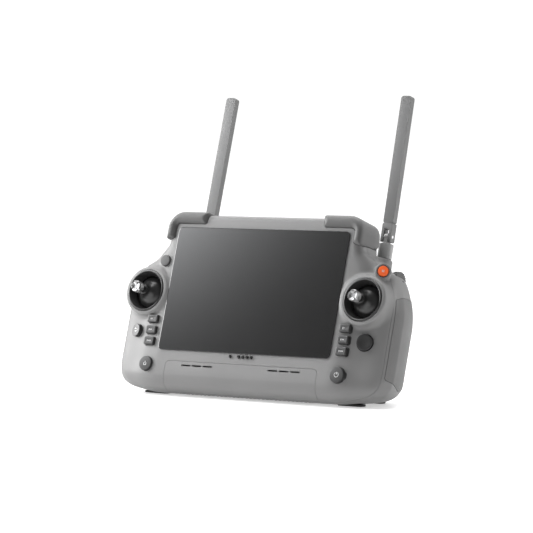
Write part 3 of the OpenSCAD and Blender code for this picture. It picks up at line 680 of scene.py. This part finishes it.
def bumper_solid(sign, grow=0.0):
    """The corner bumper as a soft-edged solid."""
    low = (40, -4, 30) if sign > 0 else (-104, -4, 30)
    high = (104, 44, 70) if sign > 0 else (-40, 44, 70)
    g = Field(low, high, 0.8)
    soft = 6.0 if grow == 0 else 0.6
    flat = polygon_distance(rounded(BUMPER, grow), sign * g.x, g.z - 0.1 * g.y * (g.z < 50))
    plan = polygon_distance(rounded(CROWN, 1.4 + grow), g.x, g.y)
    depth = np.maximum(-1.7 - grow - g.y, g.y - BUMPER_Y - grow)
    form = smooth_max(flat, smooth_max(plan, depth + 0 * g.x, 3), soft)
    g.values = form.astype(np.float32)
    return outwards(make("bumper", *g.surface()))


def round_cutter(place, turn, r, depth=6.0, flare=0.35):
    profile = [(0, -depth), (r, -depth), (r, -flare), (r + 2 * flare, flare), (r + 2 * flare, 6),
               (0, 6)]
    points, faces = lathe(profile, 64)
    return cutter((placed(points, place, turn), faces))


def build_front():
    shell = casing_surface("front_shell_piece")
    carve(shell, inner, keep=True)
    carve(shell, cutter(block((-200, 200), (-20, PART_Y - GAP), (-200, 200))), "INTERSECT")
    for sign in (LEFT, RIGHT):
        carve(shell, bumper_solid(sign, 0.15))
        ring = [(0, -30), (RING_R + 0.25, -30), (RING_R + 0.25, -0.6), (RING_R + 0.8, 2), (0, 2)]
        points, faces = lathe(ring, 96)
        carve(shell, cutter((placed(points, (sign * STICK_X, 0, STICK_Z)), faces)))
        for i in range(3):
            z = KEY_Z - i * KEY_PITCH
            key = box_outline(10.5, 7.1, 1.5, sign * KEY_X, z)
            carve(shell, cutter(front_prism(key, [(7, 0), (FRONT_Y + 0.35, 0), (FRONT_Y - 0.2, 0.45),
                                                  (-4, 0.45)])))
    carve(shell, cutter(front_prism(PANEL, [(-6, GAP), (PART_Y, GAP)])))
    carve(shell, cutter(front_prism(GLASS, [(FRONT_Y + 1.1, 0.1), (FRONT_Y + 0.55, 0.1),
                                            (FRONT_Y - 0.1, 1.1), (-4, 1.1)])))
    carve(shell, cutter(front_prism(box_outline(161, 98, 2), [(-4, 0), (9, 0)])))
    carve(shell, round_cutter((-BACK_X, flank_y(BACK_X), BACK_Z), -FLANK_TURN, 5.5))
    carve(shell, round_cutter((BACK_X, flank_y(BACK_X), BACK_Z), FLANK_TURN, 7.15))
    carve(shell, round_cutter((-HOME_X, FRONT_Y, HOME_Z), 0, 6.25))
    carve(shell, round_cutter((HOME_X, FRONT_Y, HOME_Z), 0, 6.65, flare=0.9))
    carve(shell, round_cutter((-92.5, FRONT_Y, 23), 0, 4.8, flare=0.2))
    carve(shell, round_cutter(PAUSE, PAUSE_TURN, 4.5))
    for x in (-10.9, -2.5, 1.6, 5.7, 9.7):
        carve(shell, cutter(front_prism(box_outline(2.0, 2.8, 0.9, x, -54.5),
                                        [(-4, 0.1), (FRONT_Y + 0.2, 0), (6, 0)])))
    finished(shell, paint, "casing", ["front_shell"])
    return shell


def build_panel():
    panel = casing_surface("lower_panel_piece")
    carve(panel, casing_surface("skin", -2.0))
    carve(panel, cutter(front_prism(PANEL, [(-6, -GAP), (PART_Y - 0.2, -GAP)])), "INTERSECT")
    for sign in (LEFT, RIGHT):
        for i in range(3):
            slot = box_outline(9.4, 1.35, 0.6, sign * (31.8 + 10.8 * i), -64)
            carve(panel, cutter(front_prism(slot, [(-4, 0.25), (FRONT_Y + 0.2, 0.0), (8, 0.0)])))
    finished(panel, paint, "casing", ["lower_panel"])
    return panel


def pad_region(grow):
    both = []
    for sign in (LEFT, RIGHT):
        flat = rounded(PAD, grow)
        rings = [np.column_stack([np.full(len(flat), sign * x), flat])
                 for x in (PAD_INSIDE - grow, PAD_OUTSIDE)]
        both.append(cutter(loft(rings)))
    return both


def build_rear():
    shell = casing_surface("rear_shell_piece")
    carve(shell, inner, keep=True)
    carve(shell, cutter(block((-200, 200), (PART_Y + GAP, 200), (-200, 200))), "INTERSECT")
    skin = casing_surface("skin", -1.5)
    for region in pad_region(0.15):
        carve(region, skin, keep=True)
        carve(shell, region)
    pads = []
    for sign, region, name in zip((LEFT, RIGHT), pad_region(-0.1), ("left", "right")):
        pad = casing_surface("grip_pad_" + name, 0.25)
        carve(pad, skin, keep=True)
        carve(pad, region, "INTERSECT")
        for node in (("record_button", "rear_button_left") if sign < 0
                     else ("shutter_button", "rear_button_right")):
            carve(pad, round_hole_for(node))
        finished(pad, pad_mat, "casing", ["grip_pads"])
        pads.append(pad)
    bpy.data.objects.remove(skin)
    for sign in (LEFT, RIGHT):
        carve(shell, bumper_solid(sign, 0.15))
    carve(shell, cutter(block((-62, 62), (17, 39), (-100, -70))))
    carve(shell, cutter(front_prism(BAY_LEDGE, [(60, 0.5), (BACK_Y + 0.1, 0.5), (BACK_Y - 0.3, 0.05),
                                                (BACK_Y - 1.3, 0.05)])))
    carve(shell, cutter(front_prism(BAY, [(60, 0), (BACK_Y - 8, 0)])))
    carve(shell, cutter(block((-7.4, 7.4), (BACK_Y - 8, 60), (15.6, 24.4))))
    for i in range(-5, 6):
        vent = box_outline(2.6, 22, 1.25, 5.2 * i, 41)
        carve(shell, cutter(front_prism(vent, [(60, 0.4), (BACK_Y + 0.05, 0.4), (BACK_Y - 0.4, 0),
                                               (BACK_Y - 8, 0)])))
    carve(shell, cutter(block((-31.4, 31.4), (13.3, 22.9), (TOP_Z - FLAP_DEEP, 80))))
    slots = [(Matrix.Translation((sign * DIAL[0], *DIAL[1:])), DIAL_R, DIAL_W)
             for sign in (LEFT, RIGHT)]
    slots.append((slope_matrix(*SCROLL) @ Matrix.Translation((0, 0, -SCROLL_SINK)), SCROLL_R, SCROLL_W))
    for place, wheel_r, wheel_w in slots:
        r, half = wheel_r + SLOT_ROOM, (wheel_w + SLOT_SPARE) / 2
        across = place @ Matrix.Rotation(math.pi / 2, 4, "Y")
        carve(shell, moved_cutter(lathe([(0, -half), (r, -half), (r, half), (0, half)]), across))
    carve(shell, moved_cutter(block((-6.3, 6.3), (-2.8, 2.8), (-6, 6)), slope_matrix(*MODE)))
    holes = [(sx * BACK_HOLE_X, z, SCREW_R, SCREW_DEEP) for sx in (LEFT, RIGHT) for z in SCREW_ROWS]
    holes += [(sx * BACK_HOLE_X, z, INSERT_R, INSERT_DEEP) for sx in (LEFT, RIGHT)
              for z in INSERT_ROWS]
    for x, z, r, deep in holes:
        seat = Matrix.Translation((x, BACK_Y, z)) @ Matrix.Rotation(-math.pi / 2, 4, "X")
        carve(shell, moved_cutter(lathe([(0, -deep), (r, -deep), (r, -0.3), (r + 0.35, 0.1),
                                         (r + 0.35, 6), (0, 6)]), seat))
    for node in ("record_button", "shutter_button", "rear_button_left", "rear_button_right"):
        carve(shell, round_hole_for(node))
    finished(shell, paint, "casing", ["rear_shell"])
    return shell


SLOPE = ((BACK_Y, 27.0), (GRIP_Y, -8.0))
SLOPE_TURN = math.atan2(SLOPE[0][1] - SLOPE[1][1], SLOPE[1][0] - SLOPE[0][0])


def slope_matrix(x, t):
    """Casing place on the shoulder's slope, with Z out of the surface."""
    y = SLOPE[0][0] + (SLOPE[1][0] - SLOPE[0][0]) * t
    z = SLOPE[0][1] + (SLOPE[1][1] - SLOPE[0][1]) * t
    return Matrix.Translation((x, y, z)) @ Matrix.Rotation(-SLOPE_TURN, 4, "X")


def round_hole_for(node):
    """A cutter round one of the trigger buttons."""
    sign = LEFT if node in ("record_button", "rear_button_left") else RIGHT
    if node.startswith("rear"):
        x, z = REAR_BUTTON
        place = Matrix.Translation((sign * x, GRIP_Y, z)) @ Matrix.Rotation(-math.pi / 2, 4, "X")
    else:
        place = slope_matrix(sign * TRIGGER[0], TRIGGER[1])
    points, faces = lathe([(0, -7), (5.75, -7), (5.75, -0.3), (6.3, 0.5), (6.3, 9), (0, 9)], 64)
    return moved_cutter((points, faces), place)


build_front()
build_panel()
build_rear()
bpy.data.objects.remove(outer)
bpy.data.objects.remove(inner)
for side, sign in SIDES.items():
    bumper = bumper_solid(sign)
    bumper.name = "corner_bumper_" + side
    finished(bumper, bumper_mat, "casing", ["corner_bumpers"])

# ---------------------------------------------------------------- screen

glass = outwards(make("cover_glass_piece", *front_prism(
    GLASS, [(FRONT_Y + 0.35, -0.5), (FRONT_Y + 0.45, -0.15), (FRONT_Y + 0.8, -0.12),
            (GLASS_T, -0.12)], 12)))
finished(glass, glass_mat, "casing", ["cover_glass"], 4)

# ---------------------------------------------------------------- sticks


def build_stick(side, sign):
    place = (sign * STICK_X, 0, STICK_Z)

    def turned_piece(name, profile, material, body, nodes, segments=96, angle=35):
        points, faces = lathe(profile, segments)
        obj = outwards(make(name, placed(points, place), faces))
        return finished(obj, material, body, nodes, angle)

    dome = []
    edge = 64
    hole = math.degrees(math.asin(SHAFT_R / DOME_R))
    for k in range(25):
        a = math.radians(hole + (edge - hole) * k / 24)
        dome.append((DOME_R * math.sin(a), PIVOT + DOME_R * math.cos(a)))
    for k in range(24, -1, -1):
        a = math.radians(hole + (edge - hole) * k / 24)
        dome.append(((DOME_R - 1) * math.sin(a), PIVOT + (DOME_R - 1) * math.cos(a)))
    neck = [(SHAFT_R, 3.9), (3.9, 3.6), (4.1, 2.8), (4.3, 1.4), (4.8, 0.1), (5.7, -1.1), (6.9, -2.2)]
    profile = neck + dome[7:] + [(SHAFT_R, dome[-1][1]), (SHAFT_R, 3.9)]
    turned_piece("stick_dome_" + side + "_piece", profile, dome_mat, side + "_stick",
                 ["stick_dome_" + side])
    cap_base = STICK_LEN - CAP_H
    knurl = []
    teeth, rows = 28, 12
    for j in range(rows + 1):
        z = cap_base + 0.8 + (CAP_H - 3.2) * j / rows
        ring = []
        for k in range(teeth * 4):
            a = 2 * math.pi * k / (teeth * 4)
            wave = max(math.cos(teeth * a + j * math.pi / 2), math.cos(teeth * a - j * math.pi / 2))
            r = CAP_R - 0.28 + 0.28 * wave
            ring.append((r * math.cos(a), r * math.sin(a), z))
        knurl.append(np.array(ring))

    def plain(r, z):
        a = np.arange(teeth * 4) * 2 * math.pi / (teeth * 4)
        return np.column_stack([r * np.cos(a), r * np.sin(a), np.full(len(a), z)])

    top = STICK_LEN
    rings = ([plain(SHAFT_R + 0.2, cap_base), plain(CAP_R - 0.5, cap_base),
              plain(CAP_R - 0.3, cap_base + 0.5)] + knurl
             + [plain(CAP_R - 0.35, top - 2.1), plain(CAP_R - 0.05, top - 1.8),
                plain(CAP_R - 0.15, top - 0.5), plain(CAP_R - 0.5, top), plain(CAP_R - 1.5, top - 0.1),
                plain(CAP_R - 2.1, top - 0.9), plain(1.6, top - 1.6)])
    points, faces = loft(rings)
    cap = outwards(make("stick_cap_" + side + "_piece", placed(points, place), faces))
    for turn in (math.pi / 4, 3 * math.pi / 4):
        c, s = math.cos(turn), math.sin(turn)
        bar, bar_faces = block((-9, 9), (-0.85, 0.85), (top - 1.7, top + 2))
        spun = np.column_stack([bar[:, 0] * c - bar[:, 1] * s, bar[:, 0] * s + bar[:, 1] * c,
                                bar[:, 2]])
        carve(cap, cutter((placed(spun, place), bar_faces)))
    finished(cap, silver, side + "_stick", ["stick_cap_" + side], 30)
    ring = [(RING_R, -13.2), (RING_R, 0.1), (RING_R - 0.35, 0.55), (RING_R - 1.0, 0.7),
            (RING_R - 1.5, 0.45), (RING_R - 2.1, -1.2), (14.7, -3.4), (13.9, -5.6),
            (13.45, -6.9), (13.6, -7.4), (15.3, -9.2), (16.8, -13.4), (16.9, -13.2),
            (RING_R, -13.2)]
    del ring[-2]
    turned_piece("gimbal_ring_" + side, ring, gimbal_mat, "casing", ["gimbal_housings"])


for side, sign in SIDES.items():
    build_stick(side, sign)

# ---------------------------------------------------------------- keys, buttons and their marks


def face_mark(name, place, turn, outlines, body, material=mark_mat, height=0.06, sink=0.15):
    """Thin raised marks on a surface: each outline is a list of corners."""
    points, faces = [], []
    for corners in outlines:
        flat = rounded(corners, 0.0, 3)
        rings = [np.column_stack([flat, np.full(len(flat), h)]) for h in (-sink, height)]
        p, f = loft(rings)
        faces += [tuple(i + sum(map(len, points)) for i in face) for face in f]
        points.append(p)
    obj = outwards(make(name, placed(np.concatenate(points), place, turn), faces))
    return finished(obj, material, body)


def bar(w, h, x=0.0, y=0.0, r=0.15):
    return box_outline(w, h, r, x, y)


def ring_marks(r, t, count=20, x=0.0, y=0.0, start=0.0, end=360.0):
    """Short bars that follow a circle."""
    out = []
    for k in range(count):
        a0 = math.radians(start + (end - start) * k / count)
        a1 = math.radians(start + (end - start) * (k + 1.02) / count)
        quad = [((r + t / 2) * math.cos(a0), (r + t / 2) * math.sin(a0)),
                ((r + t / 2) * math.cos(a1), (r + t / 2) * math.sin(a1)),
                ((r - t / 2) * math.cos(a1), (r - t / 2) * math.sin(a1)),
                ((r - t / 2) * math.cos(a0), (r - t / 2) * math.sin(a0))]
        out.append([(x + px, y + py, 0.02) for px, py in quad])
    return out


def key_piece(side, sign, i):
    z = KEY_Z - i * KEY_PITCH
    shape = box_outline(10, 6.6, 1.3, sign * KEY_X, z)
    levels = [(4.4, 0.7), (3.2, 0.7), (3.2, 0), (FRONT_Y - 0.1, 0), (FRONT_Y - 0.45, -0.12),
              (FRONT_Y - 0.68, -0.5), (FRONT_Y - 0.72, -1.2), (FRONT_Y - 0.55, -2.4)]
    name = f"{side}_key_{i + 1}"
    obj = outwards(make(name + "_piece", *front_prism(shape, levels, 6)))
    finished(obj, charcoal, name, [name], 50)
    dots = [ring_marks(0.28, 0.5, 8, -1.1 + 1.1 * k) for k in range(i + 1)]
    face_mark(name + "_mark", (sign * KEY_X, FRONT_Y - 0.55, z), 0,
              [bar(0.55, 1.5, -1.5)] + [bar(0.5, 0.9, -0.3 + 0.95 * k) for k in range(i + 1)], name)
    return dots


for side, sign in SIDES.items():
    for i in range(3):
        key_piece(side, sign, i)

buttons = {"back_button": charcoal, "home_button": charcoal, "power_button": charcoal,
           "authority_button": authority_mat, "pause_button": orange, "record_button": charcoal,
           "shutter_button": charcoal, "rear_button_left": charcoal,
           "rear_button_right": charcoal, "five_way_cap": charcoal}
for node, material in buttons.items():
    softened(node, material, 0.45, 3)

face_mark("back_mark", (-BACK_X, flank_y(BACK_X), BACK_Z), -FLANK_TURN,
          [bar(2.6, 0.5, 0.2, -0.9), *ring_marks(1.1, 0.45, 10, 0.9, 0.2, -90, 90),
           [(-1.7, 1.3, 0.05), (-0.4, 2.1, 0.05), (-0.4, 0.5, 0.05)][::-1]],
          "back_button", height=0.66)
face_mark("home_mark", (-HOME_X, FRONT_Y, HOME_Z), 0,
          [bar(2.6, 0.5, 0, -1.5), bar(0.5, 2.0, -1.05, -0.6), bar(0.5, 2.0, 1.05, -0.6),
           bar(0.5, 1.6, 0, 1.0)], "home_button", height=0.56)
face_mark("power_mark", (HOME_X, FRONT_Y, HOME_Z), 0,
          [*ring_marks(1.9, 0.45, 22, 0, 0, 120, 420), bar(0.5, 2.0, 0, 1.2)], "power_button",
          height=0.56)
face_mark("pause_mark", PAUSE, PAUSE_TURN, [bar(0.55, 1.9, -0.55), bar(0.55, 1.9, 0.55)],
          "pause_button", height=0.86)

# ---------------------------------------------------------------- carried-over CAD pieces

for side in SIDES:
    softened("antenna_knuckle_" + side, knuckle_mat, 0.6, 3)
    softened("antenna_blade_" + side, antenna_mat, 0.7, 3)
    softened("antenna_pin_" + side, steel, 0.2, 2)
    softened(side + "_dial", charcoal, 0.2, 2)
softened("scroll_wheel", charcoal, 0.2, 2)
softened("mode_switch", charcoal, 0.4, 2)
softened("battery_cover", paint, 0.25, 2)
softened("cover_latch", charcoal, 0.25, 2)
softened("port_cover", bumper_mat, 0.3, 2)
softened("intake_grille", grille_mat, 0.2, 1)
softened("feet", foot_mat, 0.2, 2)

kept = {"display_panel": black, "main_board": board_mat, "button_boards": board_mat,
        "heat_sink": alloy, "fan_frame": black, "fan_rotor": black, "internal_battery": cell_mat,
        "battery_pack": black, "speakers": black, "mount_inserts": brass, "case_screws": steel,
        "status_lights": window_mat, "stick_left": dome_mat, "stick_right": dome_mat,
        "gimbal_yoke_left": steel, "gimbal_yoke_right": steel, "five_way_frame": steel,
        "five_way_rocker": steel}
for node, material in kept.items():
    mesh = frame["nodes"][node].data
    mesh.materials.clear()
    mesh.materials.append(material)

# ---------------------------------------------------------------- floor, light and camera


def stage_mesh(name, corners, material):
    mesh = bpy.data.meshes.new(name)
    mesh.from_pydata([tuple(c) for c in corners], [], [tuple(range(len(corners)))])
    obj = bpy.data.objects.new(name, mesh)
    bpy.context.scene.collection.objects.link(obj)
    mesh.materials.append(material)
    return obj


floor_mat, floor_tree, floor_shader = nodes_of("floor_white")
floor_grain = noise(floor_tree, 4, 2)
link(floor_tree, ramp(floor_tree, floor_grain, "Fac", [(0.3, grey(0.8)), (0.7, grey(0.82))]),
     "Color", floor_shader, "Base Color")
floor_shader.inputs["Roughness"].default_value = 0.3
floor_shader.inputs["Specular IOR Level"].default_value = 0.3
floor_shader.inputs["Emission Color"].default_value = (1, 1, 1, 1)
floor_shader.inputs["Emission Strength"].default_value = 0.45
stage_mesh("floor", [(-6, -6, 0), (6, -6, 0), (6, 6, 0), (-6, 6, 0)], floor_mat)


def soft_light(name, place, target, size, energy, color=(1, 1, 1)):
    data = bpy.data.lights.new(name, "AREA")
    data.shape = "RECTANGLE"
    data.size, data.size_y = size
    data.energy, data.color = energy, color
    obj = bpy.data.objects.new(name, data)
    bpy.context.scene.collection.objects.link(obj)
    obj.location = place
    obj.rotation_euler = (Vector(target) - Vector(place)).to_track_quat("-Z", "Y").to_euler()
    return obj


AZIMUTH, ELEVATION = math.radians(34.46), math.radians(3.06)
DISTANCE, SIDEWAYS, UPWARDS = 2.2756, 0.01171, 0.01969
view = Vector((math.sin(AZIMUTH) * math.cos(ELEVATION), -math.cos(AZIMUTH) * math.cos(ELEVATION),
               math.sin(ELEVATION)))
right = Vector((math.cos(AZIMUTH), math.sin(AZIMUTH), 0))
up = right.cross(-view)

middle = SCREEN.copy()
soft_light("key_left", middle + Vector((-0.8, -0.25, 0.26)), middle, (0.4, 0.5), 9)
soft_light("top", middle + Vector((-0.2, 0.2, 1.1)), middle, (1.2, 0.9), 22)
soft_light("back_right", middle + Vector((1.0, 0.9, 0.3)), middle, (0.5, 0.8), 5)


def reflector():
    """A card that the glass mirrors, brightest towards its upper left."""
    outwards_dir = -BACKWARDS
    mirrored = (2 * view.dot(outwards_dir) * outwards_dir - view).normalized()
    centre = SCREEN + mirrored * CARD_AWAY
    across = Vector((0, 0, 1)).cross(mirrored).normalized()
    rise = mirrored.cross(across)
    mat, tree, shader = nodes_of("reflector_card")
    shader.inputs["Base Color"].default_value = (0, 0, 0, 1)
    coords = tree.nodes.new("ShaderNodeTexCoord")
    split = tree.nodes.new("ShaderNodeSeparateXYZ")
    link(tree, coords, "Object", split, "Vector")

    def falls(out, zero, spread, power):
        near = tree.nodes.new("ShaderNodeMapRange")
        near.inputs["From Min"].default_value = zero
        near.inputs["From Max"].default_value = zero + spread
        link(tree, split, out, near, "Value")
        steep = tree.nodes.new("ShaderNodeMath")
        steep.operation = "POWER"
        steep.inputs[1].default_value = power
        link(tree, near, "Result", steep, 0)
        return steep

    product = tree.nodes.new("ShaderNodeMath")
    product.operation = "MULTIPLY"
    link(tree, falls("X", *CARD_ACROSS), "Value", product, 0)
    link(tree, falls("Y", *CARD_RISE), "Value", product, 1)
    strong = tree.nodes.new("ShaderNodeMath")
    strong.operation = "MULTIPLY_ADD"
    strong.inputs[1].default_value = CARD_GLOW
    strong.inputs[2].default_value = CARD_LOW
    link(tree, product, "Value", strong, 0)
    shader.inputs["Emission Color"].default_value = (0.97, 0.98, 1, 1)
    link(tree, strong, "Value", shader, "Emission Strength")
    half = CARD_SIZE / 2
    mesh = bpy.data.meshes.new("reflector")
    mesh.from_pydata([(-half, -half, 0), (half, -half, 0), (half, half, 0), (-half, half, 0)], [],
                     [(0, 1, 2, 3)])
    mesh.materials.append(mat)
    card = bpy.data.objects.new("reflector", mesh)
    bpy.context.scene.collection.objects.link(card)
    turn = Matrix((across, rise, mirrored)).transposed()
    card.matrix_world = Matrix.Translation(centre) @ turn.to_4x4()
    card.visible_diffuse = False


CARD_AWAY, CARD_SIZE = 1.4, 1.0
CARD_ACROSS = (0.3, -0.45, 4.77)
CARD_RISE = (-0.25, 0.45, 1.81)
CARD_GLOW, CARD_LOW = 16.0, 0.12
reflector()

world = bpy.data.worlds.new("studio")
bpy.context.scene.world = world
world.use_nodes = True
sky = world.node_tree
toward = sky.nodes.new("ShaderNodeVectorMath")
toward.operation = "DOT_PRODUCT"
toward.inputs[1].default_value = (-math.sin(AZIMUTH), math.cos(AZIMUTH), 0.25)
sky_coords = sky.nodes.new("ShaderNodeTexCoord")
link(sky, sky_coords, "Generated", toward, 0)
shade_of_sky = sky.nodes.new("ShaderNodeMapRange")
shade_of_sky.inputs["From Min"].default_value = -0.2
shade_of_sky.inputs["From Max"].default_value = 0.75
shade_of_sky.inputs["To Min"].default_value = 0.3
shade_of_sky.inputs["To Max"].default_value = 1.05
link(sky, toward, "Value", shade_of_sky, "Value")
link(sky, shade_of_sky, "Result", sky.nodes["Background"], "Strength")
sky.nodes["Background"].inputs["Color"].default_value = (1, 1, 1, 1)

camera_data = bpy.data.cameras.new("camera")
camera_data.lens, camera_data.sensor_width = 190.8, 36
camera_data.clip_start, camera_data.clip_end = 0.05, 50
camera = bpy.data.objects.new("camera", camera_data)
bpy.context.scene.collection.objects.link(camera)
camera.location = SCREEN + view * DISTANCE + right * SIDEWAYS + up * UPWARDS
camera.rotation_euler = (-view).to_track_quat("-Z", "Y").to_euler()
bpy.context.scene.camera = camera
bpy.context.scene.view_settings.view_transform = "Standard"


import json
